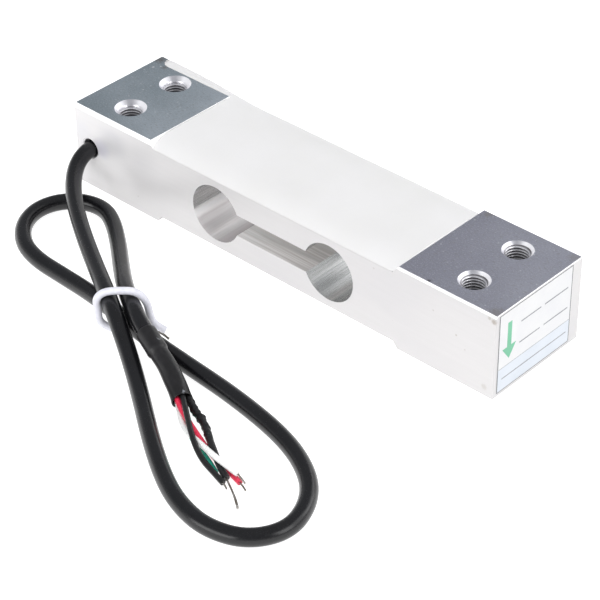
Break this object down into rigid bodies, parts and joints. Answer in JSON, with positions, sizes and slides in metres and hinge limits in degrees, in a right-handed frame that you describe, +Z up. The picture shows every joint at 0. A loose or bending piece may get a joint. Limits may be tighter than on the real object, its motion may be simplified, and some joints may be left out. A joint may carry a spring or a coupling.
{
  "type": "single point load cell",
  "caption": "Aluminium bending beam sensor with a binocular cut-out, tapped mounting holes, white silicone over the gauges, and a tied black cable with bare wire ends.",
  "frame": {"origin": "centre of the beam's outline, on the plane its lower mounting pads rest on", "axes": "+X along the beam from the cable end to the load end, +Y away from the side the cable leaves, +Z up"},
  "size_m": [0.1301, 0.1032, 0.022],
  "materials": {
    "aluminium": "milled, satin",
    "silicone": "matte",
    "label_film": "matte film",
    "cable_black": "satin",
    "sleeve_black": "satin",
    "core_red": "satin",
    "core_white": "satin",
    "core_black": "satin",
    "core_green": "satin",
    "tie_white": "satin",
    "tinned_copper": "drawn wire",
    "gauge_foil": "satin",
    "board_laminate": "satin",
    "chip_black": "matte",
    "lead_copper": "enamelled"
  },
  "bodies": {
    "root": {"bottom_gauge_left": "gauge_foil", "bottom_gauge_right": "gauge_foil", "bottom_leads_left": "lead_copper", "bottom_leads_right": "lead_copper", "cable_seal": "silicone", "cable_tie": "tie_white", "conductor_black": "tinned_copper", "conductor_drain": "tinned_copper", "conductor_green": "tinned_copper", "conductor_red": "tinned_copper", "conductor_white": "tinned_copper", "core_black": "core_black", "core_green": "core_green", "core_red": "core_red", "core_white": "core_white", "drain_sleeve": "sleeve_black", "heat_shrink_sleeve": "sleeve_black", "inner_core_black": "core_black", "inner_core_green": "core_green", "inner_core_red": "core_red", "inner_core_white": "core_white", "potting_bottom": "silicone", "potting_top": "silicone", "rating_label": "label_film", "signal_cable": "cable_black", "span_resistor": "chip_black", "spring_element": "aluminium", "terminal_board": "board_laminate", "tie_strands": "tinned_copper", "top_gauge_left": "gauge_foil", "top_gauge_right": "gauge_foil", "top_leads_left": "lead_copper", "top_leads_right": "lead_copper", "zero_resistor": "chip_black"}
  },
  "joints": []
}
